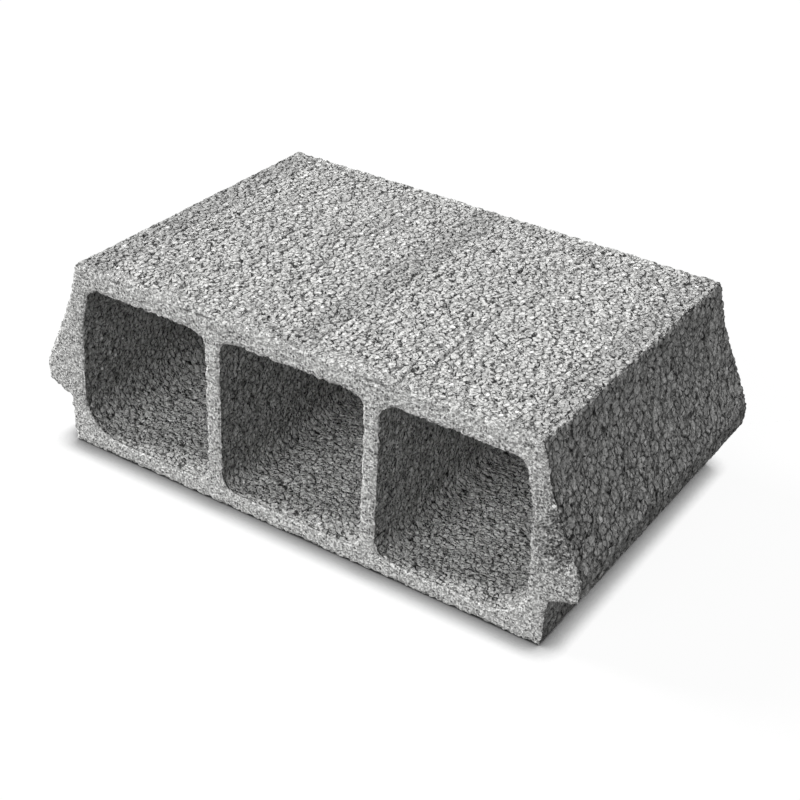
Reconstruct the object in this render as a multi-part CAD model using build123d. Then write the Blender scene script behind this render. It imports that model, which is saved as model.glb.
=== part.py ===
from build123d import *
import math
import os

# A hollow infill block for a beam-and-block floor, cast in one piece of dense
# dry-pressed concrete. X runs across the gap between two floor beams, Y along
# the beams, which is the way the cells run, and Z is up. The origin is the
# middle of the underside. All sizes are in millimetres.

# Overall sizes
WIDTH = 530.0  # over the two bearing nibs
LENGTH = 310.0  # along the beams
HEIGHT = 180.0

# Outside profile
FOOT_WIDTH = 476.0  # underside, which hangs between the beams
FOOT_DRAFT = 2.5  # the foot widens by this on each side up to the nibs
NIB_ROOT_HEIGHT = 44.0  # where the bearing face leaves the foot
NIB_RISE = 9.0  # the bearing face climbs this much to its outer lip
NIB_FACE = 21.0  # upright outer face of the nib
TOP_WIDTH = 448.0
SHOULDER_DROP = 38.0  # from the top down to the bend of the flank
SHOULDER_RUN = 9.5  # how far the bend stands out beyond the top edge

# Roundings of the outside profile
FOOT_ROUND = 3.0
ROOT_ROUND = 2.5
LIP_ROUND = 4.0
NIB_TOP_ROUND = 6.0
FLANK_ROUND = 185.0
TOP_ROUND = 3.0

# Walls
TOP_SLAB = 21.0
BOTTOM_SLAB = 17.0
WEB = 16.0
MIDDLE_CELL_WIDTH = 139.0
FLANK_WALL = 20.0  # measured level, beside the upper flank
FOOT_WALL = 18.5  # measured level, at the root of the nib
CELL_BEND_DROP = 20.0  # from the bend of the flank down to the bend of the cell's side

# Roundings inside the cells
CELL_TOP_ROUND = 14.0
CELL_WEB_ROUND = 14.0
CELL_FOOT_ROUND = 34.0
CELL_SIDE_ROUND = 40.0

# Each core narrows by this on every wall from the front mouth to the back one
CORE_TAPER = 1.0

# The sharp edges of both end faces are worn to this radius
ARRIS = 1.5

# A rounding takes no more than this share of a straight run beside it
ROUND_SHARE = 0.48


def flank_x(z):
    """Outside half width at height z on the straight flank above the bend."""
    return TOP_WIDTH / 2 + SHOULDER_RUN * (HEIGHT - z) / SHOULDER_DROP


def foot_x(z):
    """Outside half width at height z on the foot, below the nibs."""
    return FOOT_WIDTH / 2 + FOOT_DRAFT * z / NIB_ROOT_HEIGHT


def limited_round(before, corner, after, radius):
    """The radius of a corner's rounding, held to what the runs on both sides have room for."""
    run_in = corner - before
    run_out = after - corner
    turn = math.radians(run_in.get_angle(run_out))
    room = ROUND_SHARE * min(run_in.length, run_out.length)
    return min(radius, room / math.tan(turn / 2))


def filleted_face(plane, corners):
    """A flat face on plane from (x, z, round) corners given in order."""
    points = [Vector(x, z) for x, z, _ in corners]
    following = points[1:] + points[:1]
    radii = [
        limited_round(points[i - 1], points[i], following[i], radius)
        for i, (_, _, radius) in enumerate(corners)
    ]
    with BuildSketch(plane) as sketch:
        with BuildLine():
            FilletPolyline(points, radius=radii, close=True)
        make_face()
    return sketch.sketch


def end_plane(y):
    """The plane of the block's section at y, with its own x along X and its y along Z."""
    return Plane(origin=(0, y, 0), x_dir=(1, 0, 0), z_dir=(0, -1, 0))


def outside_corners():
    """Corners of the outside profile, from the right end of the foot round to the left."""
    lip_height = NIB_ROOT_HEIGHT + NIB_RISE
    right = [
        (FOOT_WIDTH / 2, 0, FOOT_ROUND),
        (foot_x(NIB_ROOT_HEIGHT), NIB_ROOT_HEIGHT, ROOT_ROUND),
        (WIDTH / 2, lip_height, LIP_ROUND),
        (WIDTH / 2, lip_height + NIB_FACE, NIB_TOP_ROUND),
        (flank_x(HEIGHT - SHOULDER_DROP), HEIGHT - SHOULDER_DROP, FLANK_ROUND),
        (TOP_WIDTH / 2, HEIGHT, TOP_ROUND),
    ]
    left = [(-x, z, radius) for x, z, radius in reversed(right)]
    return right + left


def middle_cell_corners(inset):
    """Corners of the middle cell, drawn in by inset on every wall."""
    side = MIDDLE_CELL_WIDTH / 2 - inset
    floor = BOTTOM_SLAB + inset
    ceiling = HEIGHT - TOP_SLAB - inset
    return [
        (side, floor, CELL_WEB_ROUND),
        (side, ceiling, CELL_TOP_ROUND),
        (-side, ceiling, CELL_TOP_ROUND),
        (-side, floor, CELL_WEB_ROUND),
    ]


def outer_cell_corners(inset):
    """Corners of the right-hand cell, drawn in by inset on every wall."""
    web_side = MIDDLE_CELL_WIDTH / 2 + WEB + inset
    floor = BOTTOM_SLAB + inset
    ceiling = HEIGHT - TOP_SLAB - inset
    bend = HEIGHT - SHOULDER_DROP - CELL_BEND_DROP
    bend_side = flank_x(bend) - FLANK_WALL - inset
    root_side = foot_x(NIB_ROOT_HEIGHT) - FOOT_WALL - inset
    side_slope = (root_side - bend_side) / (bend - NIB_ROOT_HEIGHT)
    floor_side = root_side + side_slope * (NIB_ROOT_HEIGHT - floor)
    return [
        (web_side, floor, CELL_WEB_ROUND),
        (floor_side, floor, CELL_FOOT_ROUND),
        (bend_side, bend, CELL_SIDE_ROUND),
        (flank_x(ceiling) - FLANK_WALL - inset, ceiling, CELL_TOP_ROUND),
        (web_side, ceiling, CELL_TOP_ROUND),
    ]


def core(corners_at):
    """One tapered core, from the front mouth through to the back one."""
    front = filleted_face(end_plane(-LENGTH / 2), corners_at(0))
    back = filleted_face(end_plane(LENGTH / 2), corners_at(CORE_TAPER))
    return loft([front, back], ruled=True)


def infill_block():
    """The whole block: the outside prism less its three cores, with worn end edges."""
    outside = extrude(filleted_face(end_plane(LENGTH / 2), outside_corners()), amount=LENGTH)
    right_core = core(outer_cell_corners)
    left_core = mirror(right_core, about=Plane.YZ)
    solid = outside - core(middle_cell_corners) - right_core - left_core
    ends = solid.faces().filter_by(Axis.Y)
    return fillet(ends.edges(), ARRIS)


os.makedirs("parts", exist_ok=True)

block = infill_block()
block.label = "infill_block"
export_step(block, "parts/infill_block.step")
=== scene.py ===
"""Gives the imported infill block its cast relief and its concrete, and sets the floor, lights and camera."""
import logging
import math
from dataclasses import dataclass
from enum import Enum

import bmesh
import bpy
import numpy as np
from mathutils import Matrix, Vector


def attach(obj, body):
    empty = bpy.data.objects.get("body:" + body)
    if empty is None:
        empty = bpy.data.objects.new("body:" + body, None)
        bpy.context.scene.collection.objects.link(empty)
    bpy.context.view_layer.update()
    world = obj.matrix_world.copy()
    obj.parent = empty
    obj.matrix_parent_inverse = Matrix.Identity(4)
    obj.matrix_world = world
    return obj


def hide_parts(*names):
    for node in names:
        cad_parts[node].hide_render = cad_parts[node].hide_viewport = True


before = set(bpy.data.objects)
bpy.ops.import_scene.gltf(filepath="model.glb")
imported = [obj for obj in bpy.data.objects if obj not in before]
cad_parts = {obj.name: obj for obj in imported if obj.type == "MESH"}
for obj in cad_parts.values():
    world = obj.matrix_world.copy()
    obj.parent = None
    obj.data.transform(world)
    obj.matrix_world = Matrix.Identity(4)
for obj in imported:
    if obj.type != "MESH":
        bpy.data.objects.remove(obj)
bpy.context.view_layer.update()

log = logging.getLogger("infill_block")

MILLIMETRE = 0.001


class Skin(Enum):
    """The faces that the mould, the cores and the strike-off give the one casting."""

    TOP_FACE = "top_face"
    UNDERSIDE = "underside"
    LEFT_SIDE = "left_side"
    RIGHT_SIDE = "right_side"
    FRONT_END = "front_end"
    BACK_END = "back_end"
    LEFT_CELL = "left_cell"
    MIDDLE_CELL = "middle_cell"
    RIGHT_CELL = "right_cell"


CELLS = (Skin.LEFT_CELL, Skin.MIDDLE_CELL, Skin.RIGHT_CELL)
ENDS = (Skin.FRONT_END, Skin.BACK_END)


class Sheet(Enum):
    """The kind of node tree that a field is laid out in."""

    SHADER = "ShaderNodeTree"
    GEOMETRY = "GeometryNodeTree"


Feed = bpy.types.NodeSocket | float | tuple[float, ...]
Span = tuple[float, float]


@dataclass
class FieldSheet:
    """A node tree being laid out. The same calls serve a shader and a geometry tree."""

    tree: bpy.types.NodeTree

    @classmethod
    def group(cls, name: str, kind: Sheet) -> "FieldSheet":
        """A new empty group of that kind."""
        return cls(bpy.data.node_groups.new(name, kind.value))

    def add(self, kind: str, **settings: object) -> bpy.types.Node:
        """Adds a node and sets its properties.

        Args:
            kind: The node's type name.
            settings: Properties to set on it.

        Returns:
            The node.
        """
        node = self.tree.nodes.new(kind)
        for name, value in settings.items():
            setattr(node, name, value)
        return node

    def feed(self, socket: bpy.types.NodeSocket, value: Feed) -> None:
        """Links value to the socket if it is a socket, and otherwise sets it as the socket's own value."""
        if isinstance(value, bpy.types.NodeSocket):
            self.tree.links.new(value, socket)
        else:
            socket.default_value = value

    def inputs(self, **sockets: tuple[str, float | tuple[float, ...]]) -> dict[str, bpy.types.NodeSocket]:
        """Args:
            sockets: Each input's name, with its kind (Float, Vector, Color or Geometry) and default.

        Returns:
            The sockets inside the group, by name.
        """
        for name, (kind, default) in sockets.items():
            made = self.tree.interface.new_socket(name, in_out="INPUT", socket_type=f"NodeSocket{kind}")
            if kind != "Geometry":
                made.default_value = default
        inside = self.add("NodeGroupInput")
        return {name: inside.outputs[name] for name in sockets}

    def outputs(self, **sockets: tuple[str, Feed]) -> None:
        """Args:
            sockets: Each output's name, with its kind and what feeds it.
        """
        for name, (kind, _) in sockets.items():
            self.tree.interface.new_socket(name, in_out="OUTPUT", socket_type=f"NodeSocket{kind}")
        inside = self.add("NodeGroupOutput")
        for name, (_, value) in sockets.items():
            self.feed(inside.inputs[name], value)

    def math(self, operation: str, *values: Feed, clamp: bool = False) -> bpy.types.NodeSocket:
        """The result of a Math node on values."""
        node = self.add("ShaderNodeMath", operation=operation, use_clamp=clamp)
        for socket, value in zip(node.inputs, values):
            self.feed(socket, value)
        return node.outputs[0]

    def plus(self, *values: Feed) -> bpy.types.NodeSocket:
        """The sum of the values."""
        total = values[0]
        for value in values[1:]:
            total = self.math("ADD", total, value)
        return total

    def times(self, *values: Feed) -> bpy.types.NodeSocket:
        """The product of the values."""
        product = values[0]
        for value in values[1:]:
            product = self.math("MULTIPLY", product, value)
        return product

    def inverse(self, value: Feed) -> bpy.types.NodeSocket:
        """One less the value."""
        return self.math("SUBTRACT", 1.0, value)

    def vector(self, operation: str, *values: Feed) -> bpy.types.Node:
        """A Vector Math node on values."""
        node = self.add("ShaderNodeVectorMath", operation=operation)
        named = [socket for socket in node.inputs if socket.enabled or socket.type == "VECTOR"]
        for socket, value in zip(named, values):
            self.feed(socket, value)
        return node

    def scaled(self, place: Feed, amount: Feed) -> bpy.types.NodeSocket:
        """A vector times a number."""
        node = self.add("ShaderNodeVectorMath", operation="SCALE")
        self.feed(node.inputs["Vector"], place)
        self.feed(node.inputs["Scale"], amount)
        return node.outputs["Vector"]

    def ramp(self, value: Feed, low: Feed, high: Feed, start: Feed = 0.0, end: Feed = 1.0) -> bpy.types.NodeSocket:
        """A smooth step from start, where value is low, to end, where it is high."""
        return self.map_range("SMOOTHSTEP", value, low, high, start, end)

    def line(self, value: Feed, low: Feed, high: Feed, start: Feed = 0.0, end: Feed = 1.0) -> bpy.types.NodeSocket:
        """A straight ramp from start to end, held at both."""
        return self.map_range("LINEAR", value, low, high, start, end)

    def map_range(self, interpolation: str, *values: Feed) -> bpy.types.NodeSocket:
        """A clamped ramp on a value, its low, its high, and the results at both."""
        node = self.add("ShaderNodeMapRange", interpolation_type=interpolation, clamp=True)
        for name, fed in zip(("Value", "From Min", "From Max", "To Min", "To Max"), values):
            self.feed(node.inputs[name], fed)
        return node.outputs["Result"]

    def noise(self, place: Feed, size: float, detail: float = 2.0, rough: float = 0.5) -> bpy.types.Node:
        """A noise whose broadest lumps are about size metres across."""
        node = self.add("ShaderNodeTexNoise", noise_dimensions="3D")
        self.feed(node.inputs["Vector"], place)
        self.feed(node.inputs["Scale"], 1.0 / size)
        self.feed(node.inputs["Detail"], detail)
        self.feed(node.inputs["Roughness"], rough)
        return node

    def cells(self, place: Feed, size: float, feature: str = "F1", random: float = 1.0) -> bpy.types.Node:
        """A cell pattern with cells about size metres across."""
        node = self.add("ShaderNodeTexVoronoi", voronoi_dimensions="3D", feature=feature)
        self.feed(node.inputs["Vector"], place)
        self.feed(node.inputs["Scale"], 1.0 / size)
        self.feed(node.inputs["Randomness"], random)
        return node

    def split(self, place: Feed) -> bpy.types.Node:
        """The three parts of a vector."""
        node = self.add("ShaderNodeSeparateXYZ")
        self.feed(node.inputs[0], place)
        return node

    def mix(self, share: Feed, first: Feed, second: Feed) -> bpy.types.NodeSocket:
        """A blend of two numbers."""
        return self.blend("FLOAT", (0, 2, 3), 0, share, first, second)

    def mix_colour(self, share: Feed, first: Feed, second: Feed) -> bpy.types.NodeSocket:
        """A blend of two colours."""
        return self.blend("RGBA", (0, 6, 7), 2, share, first, second)

    def blend(self, kind: str, sockets: tuple[int, ...], output: int, *values: Feed) -> bpy.types.NodeSocket:
        """A Mix node of that data type, which has its sockets for each type at their own numbers."""
        node = self.add("ShaderNodeMix", data_type=kind)
        for index, value in zip(sockets, values):
            self.feed(node.inputs[index], value)
        return node.outputs[output]


@dataclass(frozen=True)
class GrainField:
    """The packing of the crushed stone, as fields that geometry and shaders share.

    Sizes are in metres. A reach is a distance in cells from a grain's middle or its edge, and a pick is
    the share of the cells' random numbers that a thing starts and is full at.
    """

    name: str
    stone: float
    chip: float
    wander: float
    patch: float = 0.012
    stone_reach: Span = (0.30, 0.58)
    chip_reach: Span = (0.34, 0.64)
    # The lean over which the crevices and hollows open, so that the painted shade in the crevices lies on each grain's
    # side away from the light.
    shaded_lean: Span = (-0.14, 0.16)
    lean_limit: float = 0.75
    hole: float = 0.0062
    pit_reach: Span = (0.10, 0.21)
    pit_pick: Span = (0.70, 0.80)
    speck_reach: Span = (0.20, 0.28)
    speck_pick: Span = (0.962, 0.966)
    sand: float = 0.0021
    grit: float = 0.0023
    grit_reach: Span = (0.30, 0.56)
    dark_pick: Span = (0.70, 0.78)
    pale_pick: Span = (0.68, 0.80)

    def group(self, kind: Sheet) -> bpy.types.NodeTree:
        """Builds the group in a shader or a geometry tree.

        Args:
            kind: The kind of tree.

        Returns:
            The group, whose inputs are Place and the direction away from the light on that face.
        """
        sheet = FieldSheet.group(f"{self.name} packed grains, {kind.name.lower()}", kind)
        given = sheet.inputs(Place=("Vector", (0.0, 0.0, 0.0)), Drag=("Vector", (0.0, 1.0, 0.0)))
        place, drag = given["Place"], given["Drag"]

        swirl = sheet.noise(place, self.stone * 0.62, 2.0, 0.5).outputs["Color"]
        shift = sheet.vector("SUBTRACT", swirl, (0.5, 0.5, 0.5))
        bent = sheet.vector("ADD", place, sheet.scaled(shift.outputs["Vector"], self.wander)).outputs["Vector"]

        stones, stone_edge, stone_lean = self.packed(sheet, bent, drag, self.stone)
        chips, chip_edge, chip_lean = self.packed(sheet, bent, drag, self.chip)
        gate = sheet.noise(place, self.patch, 2.0).outputs[0]
        bonded = sheet.noise(place, self.stone * 0.8, 2.0).outputs[0]

        stone_open = sheet.times(
            sheet.ramp(stones.outputs["Distance"], *self.stone_reach), sheet.ramp(gate, 0.38, 0.58, 0.30, 1.0),
            sheet.ramp(bonded, 0.43, 0.54, 0.08, 1.0), sheet.ramp(stone_lean, *self.shaded_lean, 0.12, 1.0))
        chip_open = sheet.times(
            sheet.ramp(chips.outputs["Distance"], *self.chip_reach), sheet.ramp(gate, 0.38, 0.64, 1.0, 0.35),
            sheet.ramp(bonded, 0.44, 0.56, 1.0, 0.25), sheet.ramp(chip_lean, *self.shaded_lean, 0.20, 1.0))
        hollow = sheet.times(sheet.ramp(stone_edge, 0.0, 0.36, 1.0, 0.0), stone_open)
        small_hollow = sheet.times(sheet.ramp(chip_edge, 0.0, 0.46, 0.75, 0.0), chip_open)
        step = sheet.ramp(sheet.split(stones.outputs["Color"]).outputs[1], 0.45, 1.0, 0.0, 0.40)
        small_step = sheet.ramp(sheet.split(chips.outputs["Color"]).outputs[0], 0.50, 1.0, 0.0, 0.34)
        dome = sheet.times(stones.outputs["Distance"], stones.outputs["Distance"], 0.26)
        lean = sheet.plus(stone_lean, sheet.times(chip_lean, 0.7))
        slope = sheet.line(lean, -self.lean_limit, self.lean_limit, 0.80, 0.0)
        valley = sheet.plus(sheet.math("MAXIMUM", hollow, small_hollow), step, small_step, dome, slope)
        # The crevices here are a mask for painted shade: the shader paints them dark, most on each grain's side away
        # from the light.
        crevice_shade = sheet.math(
            "MAXIMUM",
            sheet.times(sheet.ramp(stone_edge, 0.04, 0.30, 1.0, 0.0), stone_open),
            sheet.times(sheet.ramp(chip_edge, 0.05, 0.42, 0.95, 0.0), chip_open),
        )
        tone = sheet.split(stones.outputs["Color"]).outputs[0]
        chip_tone = sheet.split(chips.outputs["Color"]).outputs[1]

        holes = sheet.cells(place, self.hole)
        picks = sheet.split(holes.outputs["Color"]).outputs
        pit = sheet.times(
            sheet.ramp(holes.outputs["Distance"], *self.pit_reach, 1.0, 0.0), sheet.ramp(picks[0], *self.pit_pick))
        speck = sheet.times(
            sheet.ramp(holes.outputs["Distance"], *self.speck_reach, 1.0, 0.0), sheet.ramp(picks[2], *self.speck_pick))

        sand = sheet.ramp(sheet.noise(place, self.sand, 1.0, 0.7).outputs[0], 0.38, 0.62)
        grit = sheet.cells(place, self.grit)
        grit_pick = sheet.split(grit.outputs["Color"]).outputs
        grit_core = sheet.ramp(grit.outputs["Distance"], *self.grit_reach, 1.0, 0.0)
        dark_grit = sheet.times(grit_core, sheet.ramp(grit_pick[0], *self.dark_pick))
        pale_grit = sheet.times(grit_core, sheet.ramp(grit_pick[1], *self.pale_pick))
        sheet.outputs(
            Valley=("Float", valley), Crevice=("Float", crevice_shade), Tone=("Float", tone),
            ChipTone=("Float", chip_tone), Pit=("Float", pit), Speck=("Float", speck), Sand=("Float", sand),
            DarkGrit=("Float", dark_grit), PaleGrit=("Float", pale_grit))
        return sheet.tree

    def packed(self, sheet: FieldSheet, place: Feed, drag: Feed, size: float) -> tuple[bpy.types.Node, Feed, Feed]:
        """One size of grain, packed tight.

        Args:
            sheet: The tree being laid out.
            place: Where the field is read.
            drag: The direction away from the light on that face, which the painted shade in the crevices follows.
            size: The size of a grain in metres.

        Returns:
            The cell pattern, how much nearer each place is to its own cell's middle than to the next one's, and how
            far on from that middle it is in the direction away from the light, in cells.
        """
        own = sheet.cells(place, size)
        other = sheet.cells(place, size, "F2")
        away = sheet.vector("SUBTRACT", place, own.outputs["Position"]).outputs["Vector"]
        lean = sheet.times(sheet.vector("DOT_PRODUCT", away, drag).outputs["Value"], 1.0 / size)
        return own, sheet.math("SUBTRACT", other.outputs["Distance"], own.outputs["Distance"]), lean


FINE = GrainField("fine", 0.0062, 0.0037, 0.0028)
COARSE = GrainField("coarse", 0.0086, 0.0046, 0.0038)


@dataclass(frozen=True)
class CastRelief:
    """How deep the casting's surface lies below the mould, and where each finish is.

    Depths are in millimetres. Places, reaches and heights are in metres, and a pair is where a mask
    starts and where it ends.
    """

    half_length: float = 0.155
    flat_depth: float = 1.1
    side_depth: float = 1.0
    end_depth: float = 0.16
    arris_depth: float = 1.5
    lip_depth: float = 1.5
    joint_depth: float = 0.80
    gap_places: tuple[float, ...] = (-0.168, -0.088, 0.085, 0.145)
    gap_depth: float = 1.2
    joint_places: tuple[float, float] = (-0.061, 0.104)
    break_centre: tuple[float, float, float] = (0.246, -0.157, 0.103)
    break_reach: tuple[float, float, float] = (0.021, 0.008, 0.031)
    break_depth: float = 2.6
    end_reach: Span = (0.0008, 0.0044)
    smear_reach: Span = (0.006, 0.019)
    lip_reach: Span = (0.002, 0.013)
    top_height: Span = (0.165, 0.172)
    cell_floor_height: Span = (0.035, 0.045)
    underside_height: Span = (0.001, 0.004)
    flank_half_width: Span = (0.2222, 0.2238)
    gap_reach: Span = (0.010, 0.026)
    gap_height: float = 0.1765
    gap_width: Span = (0.0004, 0.0019)
    gap_from_front: Span = (0.003, 0.006)
    joint_width: Span = (0.0004, 0.0026)
    loose_lump: float = 0.007
    slow_lump: float = 0.022
    sand_lump: float = 0.0030
    crumb: float = 0.0046

    def modifier_tree(self) -> bpy.types.NodeTree:
        """Builds the geometry nodes that store the finish masks and press the surface in.

        Returns:
            The tree for a Geometry Nodes modifier.
        """
        sheet = FieldSheet.group("cast relief", Sheet.GEOMETRY)
        flow = sheet.inputs(Geometry=("Geometry", 0.0))["Geometry"]
        place = sheet.add("GeometryNodeInputPosition").outputs[0]
        normal = sheet.add("GeometryNodeInputNormal").outputs[0]
        flow = self.store(sheet, flow, "cast_position", "FLOAT_VECTOR", place)
        flow = self.store(sheet, flow, "cast_normal", "FLOAT_VECTOR", self.blurred(sheet, normal, 3))
        rounded = sheet.vector("LENGTH", self.blurred(sheet, normal, 4)).outputs["Value"]
        flow = self.store(sheet, flow, "arris", "FLOAT", sheet.ramp(rounded, 0.99, 0.86))

        spot = self.read(sheet, "cast_position", "FLOAT_VECTOR")
        facing = self.read(sheet, "cast_normal", "FLOAT_VECTOR")
        x, y, z = sheet.split(spot).outputs
        up = sheet.split(facing).outputs[2]
        loose = sheet.math("SUBTRACT", sheet.noise(spot, self.loose_lump, 2.0).outputs[0], 0.5)
        slow = sheet.math("SUBTRACT", sheet.noise(spot, self.slow_lump, 2.0).outputs[0], 0.5)
        inboard = sheet.math("SUBTRACT", self.half_length, sheet.math("ABSOLUTE", y))
        level = sheet.ramp(up, 0.5, 0.85)

        end = sheet.ramp(sheet.plus(inboard, sheet.times(loose, 0.008)), *self.end_reach, 1.0, 0.0)
        from_front = sheet.plus(y, self.half_length)
        on_top = sheet.times(level, sheet.ramp(z, *self.top_height))
        ragged = sheet.plus(from_front, sheet.times(slow, 0.044), sheet.times(loose, 0.012))
        smear = sheet.times(on_top, sheet.ramp(ragged, *self.smear_reach, 1.0, 0.0))
        on_floor = sheet.times(level, sheet.ramp(z, *self.cell_floor_height, 1.0, 0.0))
        lip = sheet.times(
            on_floor, sheet.ramp(sheet.plus(inboard, sheet.times(loose, 0.012)), *self.lip_reach, 1.0, 0.0))
        joint = sheet.times(on_top, self.joint_line(sheet, x, y, loose))
        broken, dull = self.broken_corner(sheet, spot, loose, slow)
        gap = self.gaps(sheet, x, from_front, z, loose)
        # The direction away from the light on each face: across the top away from the key, on the cell floors away
        # from key and fill, and back and down on the walls, away from the fill. The grains lean along it, and the
        # painted shade in the crevices falls on that side.
        along = sheet.add("ShaderNodeCombineXYZ")
        sheet.feed(along.inputs[0], sheet.plus(sheet.times(level, 0.70), sheet.times(on_top, 0.30)))
        sheet.feed(along.inputs[1], sheet.plus(0.80, sheet.times(level, -0.10), sheet.times(on_top, -0.57)))
        sheet.feed(along.inputs[2], sheet.plus(-0.60, sheet.times(level, 0.60)))
        flow = self.store(sheet, flow, "drag", "FLOAT_VECTOR", along.outputs[0])
        masks = {"end": end, "smear": smear, "lip": lip, "joint": joint, "broken": broken, "gap": gap, "dull": dull}
        for name, mask in masks.items():
            flow = self.store(sheet, flow, name, "FLOAT", mask)

        outside = sheet.times(sheet.ramp(sheet.math("ABSOLUTE", x), *self.flank_half_width), sheet.inverse(level))
        coarse = sheet.math("MAXIMUM", outside, sheet.ramp(z, *self.underside_height, 1.0, 0.0))
        depth = self.depth(sheet, spot, level, coarse)
        offset = sheet.scaled(self.read(sheet, "cast_normal", "FLOAT_VECTOR"), sheet.times(depth, -MILLIMETRE))
        press = sheet.add("GeometryNodeSetPosition")
        sheet.feed(press.inputs["Geometry"], flow)
        sheet.feed(press.inputs["Offset"], offset)
        sheet.outputs(Geometry=("Geometry", press.outputs[0]))
        return sheet.tree

    def store(
            self, sheet: FieldSheet, flow: bpy.types.NodeSocket, name: str, kind: str,
            value: Feed) -> bpy.types.NodeSocket:
        """Stores value on the points under name, and gives the geometry on."""
        node = sheet.add("GeometryNodeStoreNamedAttribute", data_type=kind, domain="POINT")
        sheet.feed(node.inputs["Geometry"], flow)
        sheet.feed(node.inputs["Name"], name)
        sheet.feed(node.inputs["Value"], value)
        return node.outputs[0]

    def read(self, sheet: FieldSheet, name: str, kind: str) -> bpy.types.NodeSocket:
        """The value stored on the points under name."""
        node = sheet.add("GeometryNodeInputNamedAttribute", data_type=kind)
        sheet.feed(node.inputs["Name"], name)
        return node.outputs[0]

    def blurred(self, sheet: FieldSheet, value: Feed, steps: int) -> bpy.types.NodeSocket:
        """A vector averaged with its neighbours' that many times."""
        node = sheet.add("GeometryNodeBlurAttribute", data_type="FLOAT_VECTOR")
        sheet.feed(next(s for s in node.inputs if s.enabled and s.type == "VECTOR"), value)
        sheet.feed(node.inputs["Iterations"], steps)
        return next(s for s in node.outputs if s.enabled)

    def joint_line(self, sheet: FieldSheet, x: Feed, y: Feed, loose: Feed) -> bpy.types.NodeSocket:
        """A mask of the two faint lines that the joints of the press plate leave along the top."""
        lines = []
        for index, at in enumerate(self.joint_places):
            bow = sheet.times(sheet.math("SINE", sheet.plus(sheet.times(y, 21.0), 1.3 + index)), 0.0022)
            aside = sheet.math("ABSOLUTE", sheet.plus(x, -at, bow, sheet.times(loose, 0.0035)))
            lines.append(sheet.ramp(aside, *self.joint_width, 1.0, 0.0))
        spot = self.read(sheet, "cast_position", "FLOAT_VECTOR")
        along = sheet.noise(sheet.vector("MULTIPLY", spot, (0.6, 1.0, 0.2)).outputs[0], 0.045, 1.0)
        return sheet.times(sheet.math("MAXIMUM", *lines), sheet.ramp(along.outputs[0], 0.36, 0.52, 0.25, 1.0))

    def gaps(self, sheet: FieldSheet, x: Feed, from_front: Feed, z: Feed, loose: Feed) -> bpy.types.NodeSocket:
        """A mask of the short gaps that the smear along the front of the top has left below it."""
        asides = [sheet.math("ABSOLUTE", sheet.plus(x, -at, sheet.times(loose, 0.010))) for at in self.gap_places]
        nearest = asides[0]
        for aside in asides[1:]:
            nearest = sheet.math("MINIMUM", nearest, aside)
        height = sheet.math("ABSOLUTE", sheet.plus(z, -self.gap_height, sheet.times(loose, 0.009)))
        return sheet.times(
            sheet.ramp(nearest, *self.gap_reach, 1.0, 0.0), sheet.ramp(height, *self.gap_width, 1.0, 0.0),
            sheet.ramp(sheet.plus(loose, 0.5), 0.42, 0.56),
            sheet.ramp(from_front, *self.gap_from_front, 1.0, 0.0))

    def broken_corner(self, sheet: FieldSheet, spot: Feed, loose: Feed, slow: Feed) -> tuple[Feed, Feed]:
        """Masks of the patch at the front of the right wall that has broken away, and of the dull place round it."""
        away = sheet.vector("SUBTRACT", spot, self.break_centre).outputs[0]
        away = sheet.vector("DIVIDE", away, self.break_reach).outputs[0]
        far = sheet.vector("LENGTH", away).outputs["Value"]
        broken = sheet.ramp(sheet.plus(far, sheet.times(loose, 1.1)), 0.55, 1.0, 1.0, 0.0)
        return broken, sheet.ramp(sheet.plus(far, sheet.times(slow, 1.6)), 0.9, 2.6, 1.0, 0.0)

    def depth(self, sheet: FieldSheet, spot: Feed, level: Feed, coarse: Feed) -> bpy.types.NodeSocket:
        """How far the surface lies below the mould, in millimetres.

        Args:
            sheet: The tree being laid out.
            spot: Where the point was before it was moved.
            level: 1 where the surface faces up.
            coarse: 1 where the mould left the coarse grains bare.

        Returns:
            The depth, zero or more.
        """
        valleys = []
        for grains in (FINE, COARSE):
            packing = sheet.add("GeometryNodeGroup", node_tree=grains.group(Sheet.GEOMETRY))
            sheet.feed(packing.inputs["Place"], spot)
            sheet.feed(packing.inputs["Drag"], self.read(sheet, "drag", "FLOAT_VECTOR"))
            valleys.append(packing.outputs["Valley"])
        end, smear, lip, joint, broken, gap, arris = (
            self.read(sheet, name, "FLOAT") for name in ("end", "smear", "lip", "joint", "broken", "gap", "arris"))
        covered = sheet.math("MAXIMUM", sheet.times(end, 0.72), sheet.times(smear, 0.6))
        covered = sheet.times(covered, sheet.inverse(broken))
        body = sheet.times(
            sheet.mix(coarse, *valleys), sheet.mix(level, self.side_depth, self.flat_depth), sheet.inverse(covered))
        lumps = sheet.noise(spot, self.sand_lump, 2.0, 0.6).outputs[0]
        sandy = sheet.times(end, self.end_depth, sheet.ramp(lumps, 0.36, 0.66))
        crumb = sheet.noise(spot, self.crumb, 3.0, 0.6).outputs[0]
        worn = sheet.times(arris, self.arris_depth, sheet.ramp(crumb, 0.42, 0.58))
        rounded = sheet.times(lip, end, self.lip_depth, sheet.ramp(crumb, 0.3, 0.7, 0.5, 1.0))
        knobs = sheet.cells(spot, self.crumb).outputs["Distance"]
        missing = sheet.times(broken, self.break_depth, sheet.ramp(knobs, 0.10, 0.65, 0.30, 1.0))
        seam = sheet.times(joint, self.joint_depth, sheet.inverse(smear))
        groove = sheet.plus(seam, sheet.times(gap, self.gap_depth))
        return sheet.plus(body, sandy, worn, rounded, missing, groove)


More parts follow.
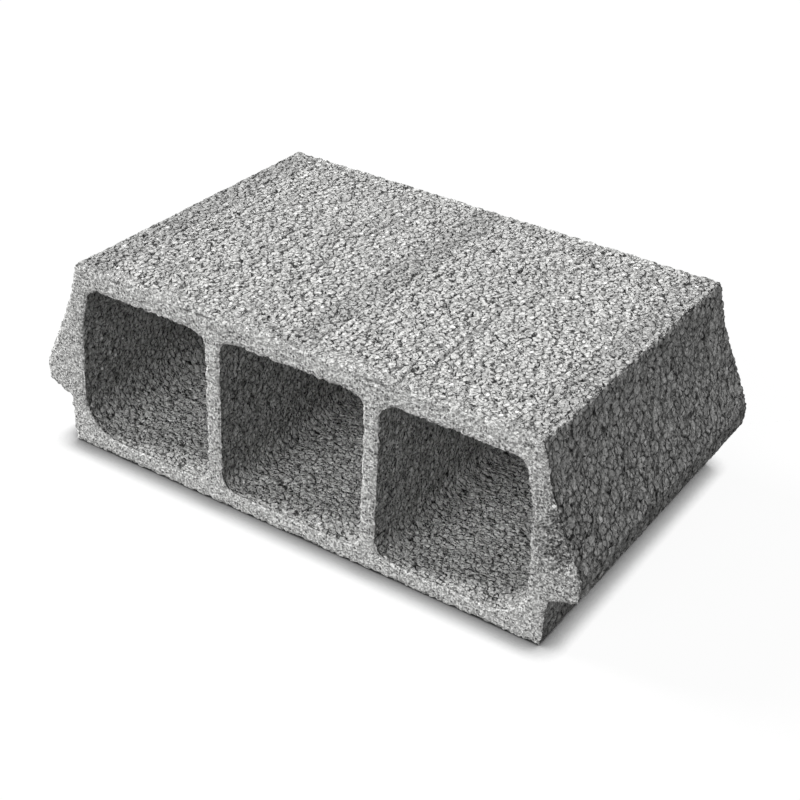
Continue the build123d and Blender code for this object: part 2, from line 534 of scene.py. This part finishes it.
@dataclass(frozen=True)
class SectionOutline:
    """A closed outline of the block's section, read round a point inside it."""

    centre: tuple[float, float]
    angles: np.ndarray
    radii: np.ndarray
    arcs: np.ndarray
    length: float

    @classmethod
    def round_points(cls, points: np.ndarray) -> "SectionOutline":
        """Reads an outline from its points, in any order.

        Args:
            points: Rows of x and z.

        Returns:
            The outline, with its arc length counted from straight above the centre.
        """
        centre = (points.min(axis=0) + points.max(axis=0)) / 2.0
        away = points - centre
        angles = np.arctan2(-away[:, 0], -away[:, 1])
        order = np.argsort(angles)
        ring = points[order]
        steps = np.linalg.norm(np.roll(ring, -1, axis=0) - ring, axis=1)
        arcs = np.concatenate(([0.0], np.cumsum(steps)[:-1]))
        return cls(tuple(centre), angles[order], np.linalg.norm(away[order], axis=1), arcs, float(steps.sum()))

    def turn(self, x: np.ndarray, z: np.ndarray) -> np.ndarray:
        """The angle of each point round the centre, zero straight below it."""
        return np.arctan2(-(x - self.centre[0]), -(z - self.centre[1]))

    def arc(self, x: np.ndarray, z: np.ndarray) -> np.ndarray:
        """How far along the outline each point is, in metres."""
        angles = np.concatenate((self.angles[-1:] - 2 * math.pi, self.angles, self.angles[:1] + 2 * math.pi))
        arcs = np.concatenate((self.arcs[-1:] - self.length, self.arcs, [self.length]))
        return np.interp(self.turn(x, z), angles, arcs)

    def gap(self, x: np.ndarray, z: np.ndarray) -> np.ndarray:
        """How far each point is from the outline, along its line from the centre.

        The radius is read between the outline's own points by angle, so this is too large in the
        middle of a long straight run, which has few points.

        Args:
            x: The points' places across.
            z: The points' heights.

        Returns:
            The distances in metres.
        """
        radius = np.interp(self.turn(x, z), self.angles, self.radii, period=2 * math.pi)
        return np.abs(np.hypot(x - self.centre[0], z - self.centre[1]) - radius)


@dataclass(frozen=True)
class ConcreteFinish:
    """One finish of the block's concrete."""

    name: str
    grains: GrainField
    grey: tuple[float, float, float] = (0.426, 0.426, 0.419)
    # The near-black grey towards which crevices, pits and gaps are painted as painted shade, and how far they go
    # towards it.
    crevice_shade_grey: tuple[float, float, float] = (0.022, 0.022, 0.022)
    crevice_shade_share: float = 0.93
    tone_share: float = 0.24
    roughness: float = 0.94
    specular: float = 0.04
    sand_height: float = 0.32
    crevice_height: float = 3.0

    def material(self, surfaces: dict[GrainField, bpy.types.NodeTree]) -> bpy.types.Material:
        """Builds the material.

        Args:
            surfaces: The shared concrete groups, by their grains.

        Returns:
            The material.
        """
        material = bpy.data.materials.new(self.name)
        material.use_nodes = True
        sheet = FieldSheet(material.node_tree)
        material.node_tree.nodes.clear()
        concrete = sheet.add("ShaderNodeGroup", node_tree=surfaces[self.grains])
        settings = {
            "Grey": (*self.grey, 1.0), "Crevice Shade Grey": (*self.crevice_shade_grey, 1.0), "Crevice Shade Share": self.crevice_shade_share,
            "Tone Share": self.tone_share, "Roughness": self.roughness,
            "Sand Height": self.sand_height, "Crevice Height": self.crevice_height,
        }
        for name, value in settings.items():
            concrete.inputs[name].default_value = value
        bump = sheet.add("ShaderNodeBump")
        bump.inputs["Strength"].default_value = 1.0
        bump.inputs["Distance"].default_value = MILLIMETRE
        sheet.feed(bump.inputs["Height"], concrete.outputs["Height"])
        shader = sheet.add("ShaderNodeBsdfPrincipled")
        shader.inputs["Specular IOR Level"].default_value = self.specular
        sheet.feed(shader.inputs["Base Color"], concrete.outputs["Colour"])
        sheet.feed(shader.inputs["Roughness"], concrete.outputs["Roughness"])
        sheet.feed(shader.inputs["Normal"], bump.outputs[0])
        end = sheet.add("ShaderNodeOutputMaterial")
        sheet.feed(end.inputs["Surface"], shader.outputs[0])
        return material


MOULDED = ConcreteFinish("moulded concrete", COARSE, grey=(0.53, 0.53, 0.521), tone_share=0.34, crevice_height=4.6)
CORED = ConcreteFinish("cored concrete", FINE, grey=(0.53, 0.53, 0.521), crevice_height=3.4)
PRESSED = ConcreteFinish("pressed concrete", FINE)
STRUCK = ConcreteFinish("struck concrete", FINE, grey=(0.553, 0.553, 0.544))


@dataclass(frozen=True)
class ConcreteSurface:
    """The shader group that the finishes of one packing share."""

    grains: GrainField
    end_cover: float = 0.80
    smear_cover: float = 0.60
    lip_cover: float = 0.35
    mottle: float = 0.045
    rubble: float = 0.0044
    # Pale stone specks, painted near white so that they also stand in for the glint that they give.
    speck_and_glint_colour: tuple[float, float, float, float] = (0.97, 0.97, 0.96, 1.0)

    def attribute(self, sheet: FieldSheet, name: str, output: str = "Fac") -> bpy.types.NodeSocket:
        """A value that the relief stored on the mesh."""
        return sheet.add("ShaderNodeAttribute", attribute_type="GEOMETRY", attribute_name=name).outputs[output]

    def group(self) -> bpy.types.NodeTree:
        """Builds the group.

        Returns:
            The group, which gives Colour, Roughness, and Height in millimetres.
        """
        sheet = FieldSheet.group(f"{self.grains.name} dry pressed concrete", Sheet.SHADER)
        given = sheet.inputs(**{
            "Grey": ("Color", (0.45, 0.45, 0.45, 1.0)), "Crevice Shade Grey": ("Color", (0.1, 0.1, 0.1, 1.0)),
            "Crevice Shade Share": ("Float", 0.8), "Tone Share": ("Float", 0.15), "Roughness": ("Float", 0.94),
            "Sand Height": ("Float", 0.15), "Crevice Height": ("Float", 0.5)})
        spot = self.attribute(sheet, "cast_position", "Vector")
        end, smear, lip, joint, broken, gap, dull = (
            self.attribute(sheet, name) for name in ("end", "smear", "lip", "joint", "broken", "gap", "dull"))
        packing = sheet.add("ShaderNodeGroup", node_tree=self.grains.group(Sheet.SHADER))
        sheet.feed(packing.inputs["Place"], spot)
        sheet.feed(packing.inputs["Drag"], self.attribute(sheet, "drag", "Vector"))
        field = packing.outputs

        covered = sheet.math("MAXIMUM", sheet.times(end, self.end_cover), sheet.times(smear, self.smear_cover))
        covered = sheet.math("MAXIMUM", covered, sheet.times(lip, self.lip_cover))
        covered = sheet.times(covered, sheet.inverse(sheet.times(broken, 0.7)))
        bare = sheet.inverse(covered)
        sandy = sheet.math("MAXIMUM", end, sheet.times(smear, 0.7))
        # Painted shade: the crevices are painted dark where shade falls in them, less where fines cover them.
        crevice_shade = sheet.times(field["Crevice"], bare)
        # Pits are painted dark as their shade, besides being pressed into the bump.
        pit = sheet.times(field["Pit"], sheet.math("MAXIMUM", sheet.times(bare, 0.9), sheet.times(end, 0.6)))
        sandy = sheet.math("MAXIMUM", sandy, broken)
        gritty = sheet.times(field["DarkGrit"], sheet.mix(sandy, 0.50, 0.80))
        # This dark mix holds painted shade in the crevices, pits and gaps, together with the concrete's own dark grit
        # and joint lines.
        dark = sheet.math("MAXIMUM", sheet.math("MAXIMUM", crevice_shade, pit), gritty)
        dark = sheet.math("MAXIMUM", dark, sheet.times(joint, 0.55, sheet.inverse(smear)))
        # The gaps under the smear are painted dark as their shade.
        dark = sheet.math("MAXIMUM", dark, sheet.times(gap, 0.85))

        tone = sheet.times(sheet.math("SUBTRACT", field["Tone"], 0.5), bare)
        chips = sheet.times(sheet.math("SUBTRACT", field["ChipTone"], 0.5), sheet.mix(sandy, 0.8, 0.4))
        mottle = sheet.math("SUBTRACT", sheet.noise(spot, self.mottle, 2.0).outputs[0], 0.5)
        sand = sheet.math("SUBTRACT", field["Sand"], 0.5)
        # Besides the concrete's own tone, mottle, sand and grit, the gain paints the cell floors' lips near the mouths
        # 16% darker, a painted shade against the light that falls on them there.
        gain = sheet.plus(
            1.0, sheet.times(tone, given["Tone Share"]), sheet.times(chips, given["Tone Share"], 1.3),
            sheet.times(mottle, 0.18), sheet.times(sand, sheet.mix(sandy, 0.50, 0.74)),
            sheet.times(field["PaleGrit"], sheet.mix(sandy, 0.10, 0.20)),
            sheet.times(broken, -0.10), sheet.times(dull, -0.27), sheet.times(lip, -0.16))
        body = sheet.scaled(given["Grey"], gain)
        shaded = sheet.mix_colour(sheet.times(dark, given["Crevice Shade Share"]), body, given["Crevice Shade Grey"])
        # Pale specks, painted near white partly as their glint, except in the crevices.
        colour = sheet.mix_colour(sheet.times(field["Speck"], sheet.inverse(crevice_shade)), shaded, self.speck_and_glint_colour)

        rough = sheet.plus(given["Roughness"], sheet.times(sand, 0.10), sheet.times(field["Speck"], -0.35))
        rubble = sheet.times(broken, sheet.ramp(sheet.noise(spot, self.rubble, 2.0, 0.7).outputs[0], 0.36, 0.64), 2.4)
        height = sheet.plus(
            rubble, sheet.times(field["Valley"], bare, given["Crevice Height"], -1.0), sheet.times(pit, -0.7),
            sheet.times(gritty, -0.45), sheet.times(sand, given["Sand Height"], sheet.mix(sandy, 1.0, 1.7)))
        sheet.outputs(Colour=("Color", colour), Roughness=("Float", rough), Height=("Float", height))
        return sheet.tree


@dataclass
class CastBlock:
    """The casting: one closed body with its relief, given out as the faces that the mould makes."""

    node: str = "infill_block"
    voxel: float = 0.00162
    merge_distance: float = 1e-6
    end_turn: float = 0.70
    level_turn: float = 0.7
    top_above: float = 0.17
    underside_below: float = 0.01
    outer_width_over: float = 0.3
    map_margin: float = 0.003
    relief: CastRelief = CastRelief()

    def blank(self) -> bmesh.types.BMesh:
        """A merged copy of the CAD node's mesh."""
        made = bmesh.new()
        made.from_mesh(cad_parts[self.node].data)
        bmesh.ops.remove_doubles(made, verts=made.verts, dist=self.merge_distance)
        return made

    def outlines(self, blank: bmesh.types.BMesh) -> list[SectionOutline]:
        """Cuts the blank at its middle and reads the outlines there.

        Args:
            blank: The merged copy.

        Returns:
            The outer outline, then the cells' from left to right.
        """
        cut = blank.copy()
        everything = [*cut.verts, *cut.edges, *cut.faces]
        bmesh.ops.bisect_plane(
            cut, geom=everything, plane_co=(0, 0, 0), plane_no=(0, 1, 0), clear_inner=True, clear_outer=True)
        rings, left = [], set(cut.verts)
        while left:
            ring, front = set(), [next(iter(left))]
            while front:
                vert = front.pop()
                ring.add(vert)
                front += [e.other_vert(vert) for e in vert.link_edges if e.other_vert(vert) not in ring]
            left -= ring
            rings.append(np.array([(v.co.x, v.co.z) for v in ring]))
        cut.free()
        rings.sort(key=lambda ring: (np.ptp(ring[:, 0]) < self.outer_width_over, ring[:, 0].mean()))
        return [SectionOutline.round_points(ring) for ring in rings]

    def cast(self, blank: bmesh.types.BMesh) -> bpy.types.Mesh:
        """Gives the blank an even mesh and the relief.

        Args:
            blank: The merged copy.

        Returns:
            One closed mesh with the finish masks stored on its points.
        """
        mesh = bpy.data.meshes.new("blank")
        blank.to_mesh(mesh)
        whole = bpy.data.objects.new("blank", mesh)
        bpy.context.scene.collection.objects.link(whole)
        even = whole.modifiers.new("even mesh", "REMESH")
        even.mode = "VOXEL"
        even.voxel_size = self.voxel
        even.use_smooth_shade = True
        press = whole.modifiers.new("relief", "NODES")
        press.node_group = self.relief.modifier_tree()
        graph = bpy.context.evaluated_depsgraph_get()
        made = bpy.data.meshes.new_from_object(whole.evaluated_get(graph))
        bpy.data.objects.remove(whole)
        return made

    def vectors(self, mesh: bpy.types.Mesh, name: str) -> np.ndarray:
        """Rows of a vector stored on the points."""
        values = np.empty(len(mesh.vertices) * 3, np.float32)
        mesh.attributes[name].data.foreach_get("vector", values)
        return values.reshape(-1, 3)

    def corners(self, mesh: bpy.types.Mesh) -> np.ndarray:
        """The point at each corner of the faces, face after face."""
        corners = np.empty(len(mesh.loops), np.int32)
        mesh.loops.foreach_get("vertex_index", corners)
        return corners

    def loop_runs(self, mesh: bpy.types.Mesh) -> tuple[np.ndarray, np.ndarray]:
        """Where each face's corners start, and how many it has."""
        starts = np.empty(len(mesh.polygons), np.int32)
        totals = np.empty(len(mesh.polygons), np.int32)
        mesh.polygons.foreach_get("loop_start", starts)
        mesh.polygons.foreach_get("loop_total", totals)
        return starts, totals

    def face_means(self, mesh: bpy.types.Mesh, values: np.ndarray) -> np.ndarray:
        """The mean of the point values round each face."""
        starts, totals = self.loop_runs(mesh)
        corners = self.corners(mesh)
        return np.add.reduceat(values[corners], starts, axis=0) / totals[:, None]

    def mark_skins(self, mesh: bpy.types.Mesh, outlines: list[SectionOutline]) -> None:
        """Stores on each face which skin it belongs to.

        Most faces of the top and the underside go to the cells, because gap reads too much for them.

        Args:
            mesh: The whole casting.
            outlines: The outer outline and the cells'.
        """
        centres = self.face_means(mesh, self.vectors(mesh, "cast_position"))
        normals = self.face_means(mesh, self.vectors(mesh, "cast_normal"))
        normals /= np.linalg.norm(normals, axis=1, keepdims=True)
        x, y, z = centres.T
        nearest = np.argmin([outline.gap(x, z) for outline in outlines], axis=0)
        order = list(Skin)
        skin = np.where(x < 0, order.index(Skin.LEFT_SIDE), order.index(Skin.RIGHT_SIDE))
        skin[(normals[:, 2] > self.level_turn) & (z > self.top_above)] = order.index(Skin.TOP_FACE)
        skin[(normals[:, 2] < -self.level_turn) & (z < self.underside_below)] = order.index(Skin.UNDERSIDE)
        for index, cell in enumerate(CELLS, start=1):
            skin[nearest == index] = order.index(cell)
        skin[normals[:, 1] < -self.end_turn] = order.index(Skin.FRONT_END)
        skin[normals[:, 1] > self.end_turn] = order.index(Skin.BACK_END)
        marks = mesh.attributes.new("skin", "INT", "FACE")
        marks.data.foreach_set("value", skin.astype(np.int32))

    def keep_tree(self) -> bpy.types.NodeTree:
        """Geometry nodes that keep one skin of the casting."""
        sheet = FieldSheet.group("keep one skin", Sheet.GEOMETRY)
        given = sheet.inputs(Geometry=("Geometry", 0.0), Index=("Int", 0))
        mark = sheet.add("GeometryNodeInputNamedAttribute", data_type="INT")
        mark.inputs["Name"].default_value = "skin"
        same = sheet.add("FunctionNodeCompare", data_type="INT", operation="EQUAL")
        number = next(s for s in mark.outputs if s.enabled)
        first, second = [s for s in same.inputs if s.enabled and s.type == "INT"]
        sheet.feed(first, number)
        sheet.feed(second, given["Index"])
        keep = sheet.add("GeometryNodeSeparateGeometry", domain="FACE")
        sheet.feed(keep.inputs["Geometry"], given["Geometry"])
        sheet.feed(keep.inputs["Selection"], same.outputs[0])
        sheet.outputs(Geometry=("Geometry", keep.outputs["Selection"]))
        return sheet.tree

    def skin_mesh(self, whole: bpy.types.Object, skin: Skin) -> bpy.types.Mesh:
        """One skin of the casting.

        Args:
            whole: The casting with the keep modifier on it.
            skin: The skin to keep.

        Returns:
            Its mesh.
        """
        keep = whole.modifiers["keep"]
        index = next(item.identifier for item in keep.node_group.interface.items_tree
                     if item.name == "Index" and item.in_out == "INPUT")
        keep[index] = list(Skin).index(skin)
        whole.update_tag()
        graph = bpy.context.evaluated_depsgraph_get()
        graph.update()
        return bpy.data.meshes.new_from_object(whole.evaluated_get(graph))

    def lay_out(self, mesh: bpy.types.Mesh, skin: Skin, outlines: list[SectionOutline]) -> None:
        """Lays the skin out flat for its baked finish.

        Args:
            mesh: The skin's mesh.
            skin: Which skin it is.
            outlines: The outer outline and the cells'.
        """
        x, y, z = self.vectors(mesh, "cast_position")[self.corners(mesh)].T.astype(float)
        if skin in ENDS:
            across, along = x, z
        elif skin in CELLS:
            outline = outlines[1 + CELLS.index(skin)]
            across, along = self.unrolled(mesh, outline.arc(x, z), outline.length), y
        elif skin in (Skin.LEFT_SIDE, Skin.RIGHT_SIDE):
            across, along = outlines[0].arc(x, z), y
        else:
            across, along = x, y
        flat = np.stack((across, along), axis=1)
        low, high = flat.min(axis=0), flat.max(axis=0)
        flat = self.map_margin + (1 - 2 * self.map_margin) * (flat - low) / (high - low)
        layer = mesh.uv_layers.new(name="OFBake")
        layer.uv.foreach_set("vector", flat.astype(np.float32).ravel())

    def unrolled(self, mesh: bpy.types.Mesh, arcs: np.ndarray, length: float) -> np.ndarray:
        """Carries the arc length on past the seam in each face that crosses it."""
        starts, totals = self.loop_runs(mesh)
        highest = np.repeat(np.maximum.reduceat(arcs, starts), totals)
        return np.where(highest - arcs > length / 2, arcs + length, arcs)

    def build(self) -> dict[Skin, bpy.types.Object]:
        """Makes the skins.

        Returns:
            The finished pieces without their material, by skin.
        """
        blank = self.blank()
        outlines = self.outlines(blank)
        cast = self.cast(blank)
        blank.free()
        self.mark_skins(cast, outlines)
        whole = bpy.data.objects.new("whole", cast)
        bpy.context.scene.collection.objects.link(whole)
        keep = whole.modifiers.new("keep", "NODES")
        keep.node_group = self.keep_tree()
        pieces = {}
        for skin in Skin:
            mesh = self.skin_mesh(whole, skin)
            mesh.name = skin.value
            self.lay_out(mesh, skin, outlines)
            piece = bpy.data.objects.new(skin.value, mesh)
            bpy.context.scene.collection.objects.link(piece)
            pieces[skin] = piece
        bpy.data.objects.remove(whole)
        bpy.data.meshes.remove(cast)
        return pieces

    def dress(self, pieces: dict[Skin, bpy.types.Object]) -> None:
        """Gives each skin its finish and its place in the frame.

        Args:
            pieces: The skins.
        """
        surfaces = {grains: ConcreteSurface(grains).group() for grains in (FINE, COARSE)}
        moulded = MOULDED.material(surfaces)
        finishes = dict.fromkeys(CELLS, CORED.material(surfaces))
        finishes[Skin.TOP_FACE] = PRESSED.material(surfaces)
        finishes |= dict.fromkeys(ENDS, STRUCK.material(surfaces))
        for skin, piece in pieces.items():
            material = finishes.get(skin, moulded)
            piece.data.materials.clear()
            piece.data.materials.append(material)
            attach(piece, "root")
            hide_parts(self.node)
            triangles = sum(len(p.vertices) - 2 for p in piece.data.polygons)
            log.info("%s: %d triangles", piece.name, triangles)


@dataclass(frozen=True)
class Studio:
    """A plain pale floor under soft light, and the camera at the photograph's angle.

    Lengths are in metres, but for the lens and the sensor in millimetres. Angles are in degrees.
    """

    floor_side: float = 30.0
    floor_glow: float = 0.95
    floor_seen: float = 0.055
    floor_felt: float = 0.21
    # How far the painted contact shadow round the block's foot reaches, and how deeply it darkens.
    painted_shadow_reach: float = 0.021
    painted_shadow_depth: float = 2.65
    sky: float = 0.13
    key: float = 3.70
    key_from: tuple[float, float, float] = (-0.79, -0.10, 0.60)
    key_spread: float = 18.0
    fill: float = 2.10
    fill_from: tuple[float, float, float] = (-0.10, -0.86, 0.45)
    fill_spread: float = 46.0
    eye: tuple[float, float, float] = (0.61451, -0.96956, 0.76436)
    yaw: float = 32.14
    pitch: float = 31.74
    roll: float = 2.81
    lens: float = 68.99
    sensor: float = 36.0
    clip: Span = (0.05, 100.0)

    def direct(self, sheet: FieldSheet) -> bpy.types.NodeSocket:
        """1 where the camera looks straight at a surface, or sees it by reflection or through glass."""
        path = sheet.add("ShaderNodeLightPath").outputs
        mirrored = sheet.math("MAXIMUM", path["Is Glossy Ray"], path["Is Transmission Ray"])
        return sheet.math("MAXIMUM", path["Is Camera Ray"], mirrored)

    def floor(self) -> bpy.types.Object:
        """A level floor that the camera and reflections see nearly white, with a soft contact shadow painted round the
        block's foot from ambient occlusion.
        """
        made = bmesh.new()
        bmesh.ops.create_grid(made, x_segments=1, y_segments=1, size=self.floor_side / 2)
        mesh = bpy.data.meshes.new("floor")
        made.to_mesh(mesh)
        made.free()
        floor = bpy.data.objects.new("floor", mesh)
        bpy.context.scene.collection.objects.link(floor)
        material = bpy.data.materials.new("pale floor")
        material.use_nodes = True
        material.node_tree.nodes.clear()
        sheet = FieldSheet(material.node_tree)
        direct = self.direct(sheet)
        # Painted shadow: near the block, ambient occlusion darkens the colour and the glow that the camera sees, as a
        # soft contact shadow round the foot.
        painted_shadow_occlusion = sheet.add("ShaderNodeAmbientOcclusion", samples=4)
        painted_shadow_occlusion.inputs["Distance"].default_value = self.painted_shadow_reach
        painted_shadow_factor = sheet.math("POWER", painted_shadow_occlusion.outputs["AO"], self.painted_shadow_depth)
        felt, seen = ((level, level, level, 1.0) for level in (self.floor_felt, self.floor_seen))
        shader = sheet.add("ShaderNodeBsdfPrincipled")
        shader.inputs["Roughness"].default_value = 1.0
        shader.inputs["Specular IOR Level"].default_value = 0.0
        shader.inputs["Emission Color"].default_value = (1.0, 1.0, 1.0, 1.0)
        sheet.feed(shader.inputs["Base Color"], sheet.mix_colour(direct, felt, sheet.scaled(seen[:3], painted_shadow_factor)))
        sheet.feed(shader.inputs["Emission Strength"], sheet.times(direct, self.floor_glow, painted_shadow_factor))
        end = sheet.add("ShaderNodeOutputMaterial")
        sheet.feed(end.inputs["Surface"], shader.outputs[0])
        mesh.materials.append(material)
        return floor

    def lights(self) -> None:
        """An even sky that looks white, a broad key from the upper left and a broader fill from the front."""
        world = bpy.data.worlds.new("even sky")
        world.use_nodes = True
        sheet = FieldSheet(world.node_tree)
        background = world.node_tree.nodes["Background"].inputs
        background["Color"].default_value = (1.0, 1.0, 1.0, 1.0)
        sheet.feed(background["Strength"], sheet.mix(self.direct(sheet), self.sky, 1.0))
        bpy.context.scene.world = world
        lamps = {
            "key": (self.key, self.key_from, self.key_spread),
            "fill": (self.fill, self.fill_from, self.fill_spread),
        }
        for name, (strength, source, spread) in lamps.items():
            data = bpy.data.lights.new(name, "SUN")
            data.energy = strength
            data.angle = math.radians(spread)
            lamp = bpy.data.objects.new(name, data)
            lamp.rotation_mode = "QUATERNION"
            lamp.rotation_quaternion = Vector(source).to_track_quat("Z", "Y")
            bpy.context.scene.collection.objects.link(lamp)

    def camera(self) -> None:
        """The camera, turned by its yaw, pitch and roll."""
        yaw, pitch, roll = (math.radians(angle) for angle in (self.yaw, self.pitch, self.roll))
        data = bpy.data.cameras.new("camera")
        data.lens = self.lens
        data.sensor_width = self.sensor
        data.clip_start, data.clip_end = self.clip
        camera = bpy.data.objects.new("camera", data)
        tilt = Matrix.Rotation(math.pi / 2 - pitch, 4, "X")
        turn = Matrix.Rotation(yaw, 4, "Z") @ tilt @ Matrix.Rotation(roll, 4, "Z")
        camera.matrix_world = Matrix.Translation(self.eye) @ turn
        bpy.context.scene.collection.objects.link(camera)
        bpy.context.scene.camera = camera

    def build(self) -> None:
        """Sets the whole studio."""
        self.camera()
        self.floor()
        self.lights()
        bpy.context.scene.view_settings.view_transform = "Standard"


def main() -> None:
    """Builds the studio and the block."""
    logging.basicConfig(level=logging.INFO, format="%(name)s: %(message)s")
    Studio().build()
    block = CastBlock()
    block.dress(block.build())


if __name__ == "__main__":
    main()
